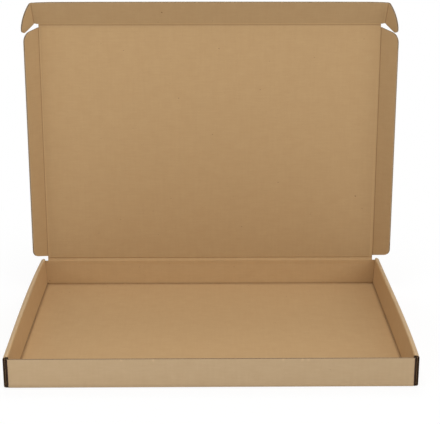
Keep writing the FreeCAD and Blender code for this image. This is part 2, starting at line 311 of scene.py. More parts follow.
def board_sheet(name, surface, s, ends, rows, flat, press=no_press, low="", high="", start="", end="", shaded=False):
    """A sheet of board.

    s: distances across the flutes; ends: (low, high) for every s; rows: 0 to 1 along each flute.
    """
    lo, hi = (np.broadcast_to(np.asarray(e, float), s.shape) for e in ends)
    made, half = BoardMesh(), BOARD / 2

    def at(cols, t, o):
        p, n = surface(cols, t)
        return p + n * o[..., None]

    def flat_at(cols, t):
        return np.stack(flat(cols, t), -1)

    ss = np.repeat(s[:, None], len(rows), 1)
    tt = lo[:, None] + (hi - lo)[:, None] * np.asarray(rows)[None]
    dent_in, dent_out, fold_in, fold_out = press(ss, tt)
    mid, n = surface(ss, tt)
    i, j = len(s) // 2, len(rows) // 2
    i, j = min(i, len(s) - 2), min(j, len(rows) - 2)
    hand = np.cross(mid[i + 1, j] - mid[i, j], mid[i, j + 1] - mid[i, j]) @ n[i, j] > 0
    made.grid(at(ss, tt, half - dent_in), flat_at(ss, tt), fold_in, INNER, not hand)
    made.grid(at(ss, tt, -half + dent_out), flat_at(ss, tt) + OTHER_SIDE, fold_out, OUTER, hand)

    for which, edge_t, way in (("low", lo, 1.0), ("high", hi, -1.0)):
        if (low if which == "low" else high) != "open":
            continue
        deep = np.minimum(FLUTE_DEEP, (hi - lo) * 0.45)
        d_in, d_out, f, _ = press(s, edge_t)
        top, bot = half - d_in, -half + d_out
        room = (top - bot - 2 * SKIN - WAVE) / 2
        wave = (top + bot) / 2 + room * np.sin(2 * math.pi * s / PITCH)
        slope = np.cos(2 * math.pi * s / PITCH) * room * 2 * math.pi / PITCH
        thick = WAVE / 2 * np.sqrt(1 + slope**2)
        thick = np.minimum(thick, (top - bot) / 2 - SKIN)
        turn = hand == (way > 0)

        def strip(cols, t0, t1, o0, o1, finish, flip):
            c2, t2, o2 = np.stack([cols, cols], 1), np.stack([t0, t1], 1), np.stack([o0, o1], 1)
            uv = flat_at(c2, t2) + np.stack([0 * o2, o2], -1)
            made.grid(at(c2, t2, o2), uv, np.stack([f, f], 1), finish, flip)

        back = np.minimum(CRUSHED_BACK if shaded else WAVE_BACK, deep * 0.3)
        t_cut, t_wave, t_end = edge_t, edge_t + way * back, edge_t + way * deep
        # painted shade: a crushed end's rims take the nearly black finish
        rim = SHADED if shaded else EDGE
        strip(s, t_cut, t_cut, top - SKIN, top, rim, turn)
        strip(s, t_cut, t_cut, bot, bot + SKIN, rim, turn)
        strip(s, t_wave, t_wave, wave - thick, wave + thick, rim, turn)
        strip(s, t_cut, t_end, top - SKIN, top - SKIN, FLUTE, turn)
        strip(s, t_cut, t_end, bot + SKIN, bot + SKIN, FLUTE, not turn)
        strip(s, t_wave, t_end, wave + thick, wave + thick, FLUTE, not turn)
        strip(s, t_wave, t_end, wave - thick, wave - thick, FLUTE, turn)
        strip(s, t_end, t_end, bot + SKIN, top - SKIN, FLUTE, turn)

    for which, col, way in (("start", 0, 1.0), ("end", -1, -1.0)):
        if (start if which == "start" else end) != "groove":
            continue
        cols, t = np.full(len(rows), s[col]), tt[col]
        d_in, d_out, f, _ = press(cols, t)
        top, bot = half - d_in, -half + d_out
        turn = hand == (way > 0)

        def band(c0, c1, o0, o1, finish, flip):
            c2, t2, o2 = np.stack([cols + c0, cols + c1], 0), np.stack([t, t], 0), np.stack([o0, o1], 0)
            uv = flat_at(c2, t2) + np.stack([o2, 0 * o2], -1)
            made.grid(at(c2, t2, o2), uv, np.stack([f, f], 0), finish, flip)

        inset = GROOVE * way
        band(0, 0, top - SKIN, top, EDGE, turn)
        band(0, 0, bot, bot + SKIN, EDGE, turn)
        band(0, inset, top - SKIN, top - SKIN, FLUTE, not turn)
        band(0, inset, bot + SKIN, bot + SKIN, FLUTE, turn)
        band(inset, inset, bot + SKIN, top - SKIN, EDGE, turn)
    return made.build(name, FINISHES)


def across(a, b, step=PITCH / 8):
    """Even distances from a to b."""
    return np.linspace(a, b, max(2, math.ceil((b - a) / step) + 1))


print("flutes in the front wall:", round(2 * FLAP_X / PITCH))

# %% [markdown]
# ## The paper's finish
#
# Brown kraft paper is dull, with a cloudy tone, fine fibres that run across the
# flutes, a few darker specks and now and then a dark fleck of bark. The inner
# skin is a warm brown. The outer skin is paler and greyer. One recipe makes
# both, with other colours. Pictures of paper could do this too, but a recipe of
# noises never repeats and stays sharp in a close view.
#
# All patterns use the UV map, which is the flat sheet in metres, so they stay
# with the paper when a flap turns.

# %% Node helpers
def rgb(r, g, b):
    """A colour as a picture shows it, 0 to 255, in the linear values that Blender uses."""
    def lin(v):
        v /= 255
        return v / 12.92 if v <= 0.04045 else ((v + 0.055) / 1.055) ** 2.4
    return (lin(r), lin(g), lin(b), 1.0)


class Recipe:
    """A material and short ways to add its nodes."""

    def __init__(self, name):
        self.material = bpy.data.materials.new(name)
        self.material.use_nodes = True
        self.nodes, self.links = self.material.node_tree.nodes, self.material.node_tree.links
        self.shader = self.nodes["Principled BSDF"]

    def add(self, kind, inputs=None, **settings):
        """A node with its settings; each input is a plain value or another node's output."""
        node = self.nodes.new(kind)
        for key, value in settings.items():
            setattr(node, key, value)
        for key, value in (inputs or {}).items():
            if isinstance(value, bpy.types.NodeSocket):
                self.links.new(value, node.inputs[key])
            else:
                node.inputs[key].default_value = value
        return node

    def sheet_coords(self, scale):
        """The flat sheet's coordinates, stretched by (x, y)."""
        uv = self.add("ShaderNodeUVMap", uv_map="flat_sheet").outputs["UV"]
        return self.add("ShaderNodeMapping", {"Vector": uv, "Scale": (scale[0], scale[1], 1.0)}).outputs[0]

    def noise(self, scale, detail=4.0, rough=0.55, low=0.35, high=0.65):
        """Noise on the sheet, `scale` cells per metre in x and y, drawn out to 0..1."""
        cells = {"Vector": self.sheet_coords(scale), "Scale": 1.0, "Detail": detail, "Roughness": rough}
        n = self.add("ShaderNodeTexNoise", cells).outputs[0]
        return self.add("ShaderNodeMapRange", {"Value": n, "From Min": low, "From Max": high}).outputs[0]

    def mix(self, amount, a, b):
        """The colour a, drawn towards b."""
        return self.add("ShaderNodeMix", {0: amount, 6: a, 7: b}, data_type="RGBA").outputs[2]

    def times(self, a, b):
        return self.add("ShaderNodeMath", {0: a, 1: b}, operation="MULTIPLY").outputs[0]


# %% Kraft paper skins
ONE_BAND = 0.31831          # the wave texture's scale that gives one band per unit


def kraft_skin(name, colour, pale, dark, fleck, crease_and_shade_tone, rough):
    r = Recipe(name)
    clouds = r.noise((75, 110), 5, 0.62)
    streaks = r.noise((95, 760), 3, 0.55, 0.34, 0.66)
    flutes = r.noise((420, 40), 3, 0.55, 0.34, 0.66)
    grain = r.noise((1500, 1900), 2, 0.5, 0.3, 0.7)
    tone = r.mix(r.times(clouds, 0.4), colour, pale)
    tone = r.mix(r.times(streaks, 0.14), tone, dark)
    tone = r.mix(r.times(flutes, 0.1), tone, dark)
    tone = r.mix(r.times(grain, 0.16), tone, pale)
    # painted light and shade, and the front wall's scuffs, make a piece paler or darker
    light_and_scuffs = r.add("ShaderNodeAttribute", attribute_name="painted_light_and_scuffs").outputs["Fac"]
    paler = r.add("ShaderNodeMath", {0: light_and_scuffs, 1: 1.0}).outputs[0]
    tone = r.add("ShaderNodeVectorMath", {0: tone, "Scale": paler}, operation="SCALE").outputs[0]
    specks = r.noise((300, 520), 1, 0.4, 0.80, 0.83)
    tone = r.mix(r.times(specks, 0.75), tone, fleck)
    # crease marks, partly painted shade in the groove, and painted shade at the feet of panels
    crease = r.add("ShaderNodeAttribute", attribute_name="fold").outputs["Fac"]
    tone = r.mix(r.times(crease, 0.62), tone, crease_and_shade_tone)
    r.links.new(tone, r.shader.inputs["Base Color"])
    wash = r.add("ShaderNodeTexWave", {"Vector": r.sheet_coords((1000 / PITCH, 0)), "Scale": ONE_BAND, "Distortion": 0.0},
                 wave_type="BANDS", bands_direction="X", wave_profile="SIN").outputs["Fac"]
    bump = r.add("ShaderNodeBump", {"Height": streaks, "Strength": 0.3, "Distance": 0.00004}).outputs[0]
    wide = r.add("ShaderNodeBump", {"Height": wash, "Strength": 0.3, "Distance": 0.00002, "Normal": bump}).outputs[0]
    r.links.new(wide, r.shader.inputs["Normal"])
    r.shader.inputs["Roughness"].default_value = rough
    r.shader.inputs["Specular IOR Level"].default_value = 0.25
    return r.material


inner_skin = kraft_skin("inner_kraft_skin", rgb(187, 154, 111), rgb(194, 162, 119), rgb(168, 133, 91),
                        rgb(105, 74, 44), rgb(122, 86, 50), 0.86)
outer_skin = kraft_skin("outer_kraft_skin", rgb(190, 163, 127), rgb(197, 171, 136), rgb(171, 143, 107),
                        rgb(112, 84, 56), rgb(134, 103, 70), 0.82)
print("skins:", inner_skin.name, outer_skin.name)

# %% [markdown]
# ## Cut edges and the wave
#
# A die cuts the board, and the cut shows the paper's broken fibres: greyer and
# a little fuzzy. Inside the flutes the wave paper is a darker brown, because it
# is recycled and little light gets in. The side walls' ends are crushed when the
# board is rolled over. Their rims, and the corners of the front and back walls,
# get a nearly black finish that is painted shade: the shade deep in the crushed
# flutes and in the gap of the rolled walls.

# %% Edge and flute papers
def cut_edge():
    r = Recipe("cut_edge")
    fuzz = r.noise((1800, 1800), 3, 0.6, 0.3, 0.7)
    r.links.new(r.mix(fuzz, rgb(158, 136, 108), rgb(186, 164, 134)), r.shader.inputs["Base Color"])
    bump = r.add("ShaderNodeBump", {"Height": fuzz, "Strength": 0.5, "Distance": 0.00008})
    r.links.new(bump.outputs[0], r.shader.inputs["Normal"])
    r.shader.inputs["Roughness"].default_value = 0.92
    return r.material


def wave_paper(name, dark, pale):
    r = Recipe(name)
    streaks = r.noise((900, 300), 3, 0.5)
    r.links.new(r.mix(streaks, dark, pale), r.shader.inputs["Base Color"])
    r.shader.inputs["Roughness"].default_value = 0.92
    return r.material


FINISHES = [inner_skin, outer_skin, cut_edge(),         # in the order of INNER, OUTER, EDGE, FLUTE, SHADED
            wave_paper("wave_paper", rgb(140, 110, 76), rgb(164, 134, 98)),
            # painted shade: the nearly black finish for the crushed ends and the walls' corners
            wave_paper("painted_shade_end", rgb(40, 20, 6), rgb(60, 34, 14))]
print("finishes:", [m.name for m in FINISHES])

# %% [markdown]
# ## Pressing the board at its folds
#
# A crease is pressed into the board before it is folded, and the flutes there
# are crushed. `pressed_at` gives the press for folds at known distances along s
# or t: both skins sink a little and the paper is marked darker, partly the
# crushed paper's own tone and partly painted shade in the groove.
#
# Each piece is also made a few percent paler or darker, as a whole or along x
# and z. That is painted light and shade, for how much light each panel gets; on
# the front wall the same value also carries pale scuffs.

# %% Pressed folds
def pressed_at(across_folds=(), along_folds=(), reach=1.1, inner=0.18, outer=0.10):
    """A press for folds across s and along t, each given by its start and stop."""
    def press(s, t):
        mark = np.zeros_like(s)
        for x, folds in ((s, across_folds), (t, along_folds)):
            for a, b in folds:
                away = np.maximum(0, np.maximum(a - x, x - b))
                mark = np.maximum(mark, np.exp(-(away / (reach / 2)) ** 2))
        return inner * mark, outer * mark, mark, 0.2 * mark
    return press


def painted_light_and_scuffs(piece, amount):
    """Paints light and shade, and scuffs: paler (above 0) or darker paper,
    by a number or a rule of x and z in mm.
    """
    p = np.array([v.co for v in piece.data.vertices]) * 1000
    value = amount(p[:, 0], p[:, 2]) if callable(amount) else amount
    values = np.broadcast_to(value, len(p)).astype(float).copy()
    piece.data.attributes.new("painted_light_and_scuffs", "FLOAT", "POINT").data.foreach_set("value", values)


def dome(x, half):
    """1 in the middle, 0 at plus and minus `half`, and smooth between."""
    return np.cos(np.clip(x / half, -1, 1) * math.pi / 2) ** 2


def attach(piece, node, body):
    """The piece stands for a CAD node and moves with that body."""
    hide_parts(node)
    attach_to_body(piece, body)
    print(f"{piece.name}: {len(piece.data.polygons)} faces on {body}")
    return piece


# %% [markdown]
# ## The floor of the tray
#
# The base is flat board whose flutes run from front to back. At both ends it
# turns up into the front and back walls. Its two long sides have narrow slots
# where the side panels' tabs lock in. One sheet is made for the wide middle,
# with both upward folds, and four small strips beside the slots. The middle
# swells up by a third of a millimetre, as real board does.

# %% Base
TURN_UP = 3.0                                       # where the base's ends meet the front and back walls
SLOT_IN, SLOT_OUT, SLOT_LONG = 150.6, 152.6, 26.2   # a slot's two sides, and half its length
BOARD_X = 147                                       # wide plain boards end here, on both sides
floor_line = FoldedLine([(-WALL_Y, TURN_UP), (-WALL_Y, BOARD / 2), (WALL_Y, BOARD / 2), (WALL_Y, TURN_UP)], 0.5)


def floor_surface(s, t):
    p, n = floor_line.at(t)
    rise = 0.35 * dome(s, SLOT_IN) * dome(p[..., 0], 107.0)
    return np.stack([s, p[..., 0], p[..., 1] + rise], -1), np.stack([0 * s, n[..., 0], n[..., 1]], -1)


def floor_flat(s, t):
    return s, t - floor_line.length / 2


t_stops = [floor_line.stops(9.0)]
for a, b in floor_line.folds:                       # closer rows on both sides of a fold
    t_stops += [a + np.array([-6.0, -4.5, -3.2, -2.0, -1.2, -0.8, -0.4]), b + np.array([0.4, 0.8, 1.2, 1.6])]
t_stops = np.unique(np.concatenate(t_stops))
t_stops = t_stops[(t_stops >= 0) & (t_stops <= floor_line.length)]


def floor_press(s, t):
    """Pressed in both folds, with painted shade at the foot of the back wall and along each side panel's foot."""
    dent_in, dent_out, fold, _ = pressed_at(along_folds=floor_line.folds, reach=1.3, inner=0.3)(s, t)
    # painted shade: a dark line on the base where each side panel stands, over a slight dent
    side = np.exp(-((np.abs(s) - 150.5) / 1.0) ** 2) * 0.7
    # painted shade: soft and dark on the base at the foot of the back wall
    back = np.exp(-((t - floor_line.folds[1][0] + 1.4) / 2.4) ** 2) * 0.5
    return dent_in + 0.15 * side, dent_out, np.maximum(0.3 * fold, np.maximum(back, side)), 0.1 * fold


by_slot = SLOT_IN - np.arange(0, 3.2, 0.4)
base_cols = np.concatenate([-by_slot, across(-BOARD_X, BOARD_X, 6.0), by_slot[::-1]])
base = board_sheet("tray_base", floor_surface, base_cols, (0, floor_line.length), t_stops / floor_line.length,
                   floor_flat, floor_press, start="groove", end="groove")
attach(base, "tray", "tray")

# %% Strips beside the slots
middle = floor_line.length / 2
for side, name in ((-1, "left"), (1, "right")):
    for way, where in ((-1, "front"), (1, "back")):
        a, b = (0, middle - SLOT_LONG) if way < 0 else (middle + SLOT_LONG, floor_line.length)
        stops = np.concatenate([[a], t_stops[(t_stops > a) & (t_stops < b)], [b]])
        cols = across(SLOT_IN, SLOT_OUT, 0.4) * side
        strip = board_sheet(f"base_strip_{where}_{name}", floor_surface, np.sort(cols), (a, b), (stops - a) / (b - a),
                            floor_flat, floor_press, low="open" if way > 0 else "", high="open" if way < 0 else "")
        attach(strip, "tray", "tray")

# %% [markdown]
# ## The rolled side walls
#
# Each side wall is folded up, over and down again, so it is two boards thick.
# Seen from the front, the board's middle follows one line: up, over a slanted
# shoulder and a narrow top, and down again, leaning out a little, to the slots
# in the base. The flutes run along the wall, so both its ends show them,
# crushed, with a nearly black finish that is painted shade. Between its ends a
# wall isn't held by anything, and it bows outwards by one or two millimetres. A
# dead straight wall would look like plastic. The paper that faces the inside is
# the warm inner kind, so those faces change over.

# %% Side walls
TAB_TOP = 2.2                                       # the inner panel ends here, and its tab goes on down
wall_line = FoldedLine([(SLOT_OUT, BOARD / 2), (OUTER_X, BOARD / 2), (OUTER_X, 24.15), (153.6, 25.0), (152.75, 25.0),
                        (INNER_X, TAB_TOP)], [0.9, 0.6, 0.5, 0.5])
wall_s = wall_line.stops(PITCH / 8, 0.2)
bottom_fold, shoulder, crest, roll = wall_line.folds
wall_reach = np.interp(wall_s, [0, bottom_fold[0] + 0.3, bottom_fold[1], roll[0], roll[1] + 0.3, wall_line.length],
                       [107.9, 107.9, HALF_DEPTH, HALF_DEPTH, 107.7, 107.7])
wall_rows = np.concatenate([[0, 0.004, 0.01, 0.02], np.linspace(0.04, 0.96, 24), [0.98, 0.99, 0.996, 1]])
WALL_BOW = {-1: (1.7, 0.45), 1: (1.1, -0.9)}        # how far, and how much more towards the back


def wall_bow(side, y, z):
    """How far a side wall, and the corner flaps inside it, bow outwards at a place."""
    far, skew = WALL_BOW[side]
    return far * (1 - (y / HALF_DEPTH) ** 2) * (1 + skew * y / HALF_DEPTH) * np.clip(z / WALL_TOP, 0, 1)


def wall_press(s, t):
    """Pressed in every fold, darker over the shoulder and the top, and painted shade where the panel stands on the
    base.
    """
    dent_in, dent_out, mark, _ = pressed_at(across_folds=wall_line.folds, reach=0.7, inner=0.45, outer=0.03)(s, t)
    over = np.exp(-(np.maximum(0, np.maximum(shoulder[0] - s, s - crest[0])) / 0.4) ** 2)
    # painted shade: dark at the panel's lower end, where it stands on the base
    end = np.exp(-((s - wall_line.length) / 0.8) ** 2)
    return dent_in, dent_out, mark, np.maximum(0.1 * mark, np.maximum(0.25 * over, 0.9 * end))


def side_wall(side):
    """The left (-1) or right (1) wall and its lock tab."""
    def surface(s, t):
        p, n = wall_line.at(s)
        x = side * (p[..., 0] + wall_bow(side, t, p[..., 1]))
        return np.stack([x, t, p[..., 1]], -1), np.stack([side * n[..., 0], 0 * s, n[..., 1]], -1)

    def flat(s, t):
        return side * (SLOT_OUT + s), t
    name = "left" if side < 0 else "right"
    wall = board_sheet(f"side_wall_{name}", surface, wall_s, (-wall_reach, wall_reach), wall_rows, flat, wall_press,
                       low="open", high="open", start="groove", end="groove", shaded=True)
    attach(wall, "tray", "tray")
    # painted light: the side walls a little paler
    painted_light_and_scuffs(wall, 0.06)
    for face in wall.data.polygons:
        if face.material_index == OUTER and abs(face.center.x) < 0.1535 and face.normal.x * side < -0.3:
            face.material_index = INNER

    def tab_surface(s, t):
        return np.stack([0 * s + side * INNER_X, t, TAB_TOP - s], -1), np.stack([0 * s + side, 0 * s, 0 * s], -1)
    tab = board_sheet(f"lock_tab_{name}", tab_surface, across(0, 2.0), (-26.0, 26.0), np.linspace(0, 1, 9),
                      lambda s, t: flat(wall_line.length + s, t), low="open", high="open", end="groove")
    attach(tab, "tray", "tray")


side_wall(-1)
side_wall(1)

# %% [markdown]
# ## Front and back walls
#
# These walls stand on the base's two folds, and at their ends they turn the
# corner into flaps that are held inside the rolled side walls. From above, the
# board's middle is a line with two corners. The flutes stand upright here, so
# the top edge shows every one of them, as a row of small holes. The two corners
# sit deep in the gap of the rolled walls, crushed, and their outer skin gets the
# nearly black finish of painted shade. The front wall's top edge has a few pale
# scuffs, where the blank was torn from its neighbour.

# %% Front and back walls
corner_line = FoldedLine([(-FLAP_X, -51.5), (-FLAP_X, -WALL_Y), (FLAP_X, -WALL_Y), (FLAP_X, -51.5)], 0.9)
corner_s = corner_line.stops(PITCH / 8, 0.2)
in_wall = (corner_s > corner_line.folds[0][1]) & (corner_s < corner_line.folds[1][0])


def end_wall(way, name, top):
    """The front (-1) or back (1) wall with its corner flaps, up to `top`."""
    def surface(s, t):
        p, n = corner_line.at(s)
        x, y = p[..., 0], -way * p[..., 1]
        x = x + np.where(x > 150, wall_bow(1, y, t), 0) - np.where(x < -150, wall_bow(-1, y, t), 0)
        return np.stack([x, y, t], -1), np.stack([n[..., 0], -way * n[..., 1], 0 * s], -1)

    def flat(s, t):
        return s - corner_line.length / 2, way * (floor_line.length / 2 - TURN_UP + t)
    wall = board_sheet(name, surface, corner_s, (np.where(in_wall, TURN_UP, 1.7), top), np.linspace(0, 1, 9), flat,
                       pressed_at(across_folds=corner_line.folds), high="open", start="groove", end="groove")
    # painted shade: the corners' outer skin, in the rolled walls' gap, takes the nearly black finish
    for face in wall.data.polygons:
        if face.material_index == OUTER and abs(face.center.x) > 0.1526:
            face.material_index = SHADED
    return attach(wall, "tray", "tray")


SCUFFS = (-67.5, -43.5, 53.8, 68.3, 72.8)


def front_light_and_scuffs(x, z):
    """Painted light, paler left and darker right, and the scuffs in the top row of points."""
    scuffs = sum(np.exp(-((x - at) / 0.9) ** 2) for at in SCUFFS)
    return 0.02 - 0.045 * x / 130 + 0.2 * (z > 22) * scuffs


front = end_wall(-1, "front_wall", LIP_TOP)
painted_light_and_scuffs(front, front_light_and_scuffs)
under_hinge = np.abs(corner_s - corner_line.length / 2) < 149.2
back = end_wall(1, "back_wall", np.where(under_hinge, 20.6, BACK_TOP))
# painted light: the back wall paler
painted_light_and_scuffs(back, 0.1)

# %% [markdown]
# ## The frame of the lid
#
# The lid leans back by one degree. Everything on it is placed by two
# directions: `UP_LID`, from the hinge to the tuck crease, and `IN_LID`, from
# the board towards the inside of the box. A flap is turned about its crease
# from there.

# %% Lid directions
X = np.array([1.0, 0.0, 0.0])
UP_LID = np.array([0.0, math.sin(LEAN), math.cos(LEAN)])
IN_LID = np.array([0.0, -math.cos(LEAN), math.sin(LEAN)])


def turned(out, inward, degrees):
    """The pair (out, inward) turned towards `inward`."""
    a = math.radians(degrees)
    return math.cos(a) * out + math.sin(a) * inward, math.cos(a) * inward - math.sin(a) * out


def flat_panel(origin, s_way, t_way, inner):
    """A flat surface from an origin and its directions."""
    def surface(s, t):
        p = origin + s[..., None] * s_way + t[..., None] * t_way
        return p, np.broadcast_to(inner, p.shape)
    return surface


DUST_ANGLE = {"left": 52.5, "right": 44}            # how far each flap is folded at rest, in degrees
TUCK_ANGLE, EAR_ANGLE = 20.5, 52
TUCK_LINE = HINGE + LID_LONG * UP_LID
TUCK_UP, TUCK_IN = turned(UP_LID, IN_LID, TUCK_ANGLE)
print("tuck crease at", np.round(TUCK_LINE, 2))

# %% [markdown]
# ## The lid's panel
#
# One wide flat board. It isn't perfectly flat: damp and folding bow it by a few
# tenths of a millimetre, which gives the soft change of tone over it. Its four
# sides run on into the crease strips that come next.

# %% Lid panel
V0 = floor_line.length / 2 - TURN_UP + HINGE[2]     # where the hinge lies on the flat sheet
LID_FROM, LID_TO = 3.4, LID_LONG - 2                # the plain board, between the hinge's and the tuck's strips
lid_plane = flat_panel(HINGE, X, UP_LID, IN_LID)


def lid_surface(s, t):
    p, n = lid_plane(s, t)
    bow = dome(s, BOARD_X) * dome(t - (LID_FROM + LID_TO) / 2, (LID_TO - LID_FROM) / 2)
    return p + n * (0.45 * bow)[..., None], n


def lid_flat(s, t):
    return s, V0 + t


lid = board_sheet("lid_board", lid_surface, across(-BOARD_X, BOARD_X, 5.0), (LID_FROM, LID_TO),
                  np.linspace(0, 1, 44), lid_flat)
attach(lid, "lid_panel", "lid_panel")
# painted light: paler towards the top and towards the left
painted_light_and_scuffs(lid, lambda x, z: 0.03 + 0.04 * (z - 130) / 90 - 0.02 * x / 130)

# %% [markdown]
# ## Crease strips
#
# A living hinge is the crushed board itself. Where two rigid pieces meet at a
# joint, a strip of about 4 mm carries the bend between them, built in the shape
# it has at rest. A stiff panel that ended at the axis would open a gap when the
# flap moves.
#
# Creases along the flutes bend across s; creases over the flutes bend along t.

# %% Strips across a joint
HALF_STRIP = 2.0
STRIP_X = 149.3         # the hinge's and the tuck's strips end here


def crease_line(degrees, inset=1.3):
    """The middle of the board over a crease that is turned by some degrees."""
    a = math.radians(degrees)
    far_end = (HALF_STRIP * math.cos(a), HALF_STRIP * math.sin(a))
    return FoldedLine([(-HALF_STRIP, 0), (0, 0), far_end], inset / math.tan(a / 2))


def crease_press(middle, depth=0.22, width=0.5, dark=0.6):
    """A pressed line at `middle`, where the inner skin sinks in and is marked darker, partly as painted shade."""
    def press(x):
        mark = np.exp(-((x - middle) / width) ** 2)
        return depth * mark, 0.12 * mark, dark * mark, 0.3 * mark
    return press


def joint_strip(piece, node, a, b):
    """Hides the CAD node and fixes the strip's place in its mesh; it is attached to neither body."""
    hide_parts(node)
    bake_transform(piece)
    print(f"{piece.name}: {len(piece.data.polygons)} faces between {a} and {b}")


# %% Hinge strip
HINGE_FROM = -4.4       # the strip starts down on the back wall


def hinge_surface(s, t):
    up = t[..., None] > 0
    p = HINGE + s[..., None] * X + t[..., None] * np.where(up, UP_LID, np.array([0.0, 0.0, 1.0]))
    return p, np.where(up, IN_LID, np.array([0.0, -1.0, 0.0]))


def hinge_press(s, t):
    """A groove above the axis, marked partly as painted shade, and a low swelling below it
    that thins out down the back wall.
    """
    groove = np.exp(-((t - 1.9) / 0.5) ** 2)
    swell = np.interp(t, [HINGE_FROM, -1.2, -0.5, 0.4, 1.0], [0, 0.26, 0.28, 0.08, 0])
    behind = np.exp(-(t / 1.2) ** 2)
    return 0.32 * groove - swell, 0.25 * behind, 0.35 * groove, 0.3 * behind


hinge = board_sheet("hinge_crease", hinge_surface, across(-STRIP_X, STRIP_X, 4.0), (HINGE_FROM, LID_FROM),
                    np.linspace(0, 1, 40), lid_flat, hinge_press, start="groove", end="groove")
# painted highlight: paler on the swelling below the axis
painted_light_and_scuffs(hinge, lambda x, z: np.interp(z, [24.5, 26.5], [0.12, 0.02]))
joint_strip(hinge, "lid_panel", "tray", "lid_panel")

# %% Tuck crease strip
tuck_bend = crease_line(TUCK_ANGLE)
tuck_mark = crease_press(tuck_bend.length / 2 + 0.3)


def tuck_strip_surface(s, t):
    p, n = tuck_bend.at(t)
    return (TUCK_LINE + s[..., None] * X + p[..., :1] * UP_LID + p[..., 1:] * IN_LID,
            n[..., :1] * UP_LID + n[..., 1:] * IN_LID)


tuck_strip = board_sheet("tuck_crease", tuck_strip_surface, across(-STRIP_X, STRIP_X, 4.0), (0, tuck_bend.length),
                         np.linspace(0, 1, 17), lambda s, t: lid_flat(s, LID_LONG - HALF_STRIP + t),
                         lambda s, t: tuck_mark(t), start="groove", end="groove")
# painted light: the crease strip a little paler
painted_light_and_scuffs(tuck_strip, 0.04)
joint_strip(tuck_strip, "tuck_flap", "lid_panel", "tuck_flap")

# %% [markdown]
# ## Dust flaps
#
# Long narrow flaps along the lid's sides, folded half inward. Their ends slant
# and their outer corners are rounded. Both have the same kind of outline, but
# the right one is a little wider and its far corner lies a little lower. The
# crease strip ends in the same slants as the flap, or a step would show.

# %% Dust flaps and their creases
DUST_OUT = {-1: 18.65, 1: 19.4}         # how far each flap reaches out
DUST_TOP = {-1: 209.4, 1: 208.4}        # where its far corner lies along the lid


def dust_columns(a, b):
    """Even flutes, and closer ones where the outline turns round a corner."""
    close = b - 0.8 * (1 - np.sin(np.linspace(0, math.pi / 2, 12)))
    return np.unique(np.round(np.concatenate([across(a, b - 0.8), close]), 5))


def dust_flap(side, name):
    """The left (-1) or right (1) dust flap and its crease strip."""
    crease = HINGE + np.array([side * LID_SIDE, 0, 0])
    out, inner = turned(side * X, IN_LID, DUST_ANGLE[name])
    wide = DUST_OUT[side]
    outline = cut_outline([(0, 4.0, 0), (wide, 8.5, 6.5), (wide, DUST_TOP[side], 9), (0, 213.7, 0)])
    s = dust_columns(HALF_STRIP, wide - 0.002)
    flap = board_sheet(f"dust_board_{name}", flat_panel(crease, out, UP_LID, inner), s, flute_ends(outline, s),
                       np.linspace(0, 1, 40), lambda s, t: lid_flat(side * (LID_SIDE + s), t),
                       low="open", high="open", end="groove")
    attach(flap, f"{name}_dust_flap", f"{name}_dust_flap")
    # painted shade: the dust flap a little darker
    painted_light_and_scuffs(flap, -0.035)

    bend = crease_line(DUST_ANGLE[name])
    mark = crease_press(bend.length / 2 + 1.3, depth=0.3, dark=0.9)

    def surface(s, t):
        p, n = bend.at(s)
        return (crease + t[..., None] * UP_LID + p[..., :1] * (side * X) + p[..., 1:] * IN_LID,
                n[..., :1] * (side * X) + n[..., 1:] * IN_LID)
    cols = across(0, bend.length, 0.2)
    away = (cols / bend.length - 0.5) * 2 * HALF_STRIP          # distance from the crease, on the flat sheet
    strip_low = np.interp(away, [-2, 0.3, 0.45, 2], [3.4, 3.4, 4.0, 4.48])
    strip_high = np.interp(away, [-2, 0.3, 0.45, 2], [213.5, 213.5, 213.45, 213.37])
    strip = board_sheet(f"dust_crease_{name}", surface, cols, (strip_low, strip_high), np.linspace(0, 1, 40),
                        lambda s, t: lid_flat(side * (LID_SIDE - HALF_STRIP + s), t), lambda s, t: mark(s),
                        low="open", high="open")
    # painted light: the crease strip a little paler
    painted_light_and_scuffs(strip, 0.05)
    joint_strip(strip, f"{name}_dust_flap", "lid_panel", f"{name}_dust_flap")


dust_flap(-1, "left")
dust_flap(1, "right")

# %% [markdown]
# ## The tuck flap and its lock ears
#
# The tuck flap goes inside the front wall when the box is closed, and the ears
# at its ends lock in the gaps beside the dust flaps. The ears are rounded like a
# quarter of a leaf. The ends of the tuck flap spread a little towards its free
# edge, and the ears' creases lean with them.

# %% Tuck flap
TUCK_LONG, SPREAD = 22.05, 0.065                    # its length, and how much its ends spread per mm of it
EAR_X, EAR_LEAN = 152.95, math.atan(SPREAD)         # where an ear's crease starts, and its lean
TUCK_X = EAR_X - HALF_STRIP                         # the tuck board ends where the ears' strips start


def tuck_surface(s, t):
    x = s * (1 + SPREAD / TUCK_X * t)
    p = TUCK_LINE + x[..., None] * X + t[..., None] * TUCK_UP
    return p, np.broadcast_to(TUCK_IN, p.shape)


def tuck_flat(s, t):
    return lid_flat(s, LID_LONG + t)


tuck_s = across(-TUCK_X, TUCK_X)
tuck_low = np.where(np.abs(tuck_s) < 149.2, 2.0, 1.5)
tuck_high = np.interp(np.abs(tuck_s), [0, 100.0, 137.0, 148.5, 150.95],      # the free edge drops towards the ears
                      [TUCK_LONG, TUCK_LONG - 0.1, TUCK_LONG - 0.25, TUCK_LONG - 0.6, 21.2])
tuck = board_sheet("tuck_board", tuck_surface, tuck_s, (tuck_low, tuck_high), np.linspace(0, 1, 9),
                   tuck_flat, high="open")
attach(tuck, "tuck_flap", "tuck_flap")
# painted shade: darker, and more so to the right
painted_light_and_scuffs(tuck, lambda x, z: -0.045 - 0.02 * x / 130)

# %% Lock ears and their creases
EAR_OUT, EAR_TOP, EAR_ROUND = 16.2, 21.3, 32.0      # how far out and up it reaches, and its sweep's radius


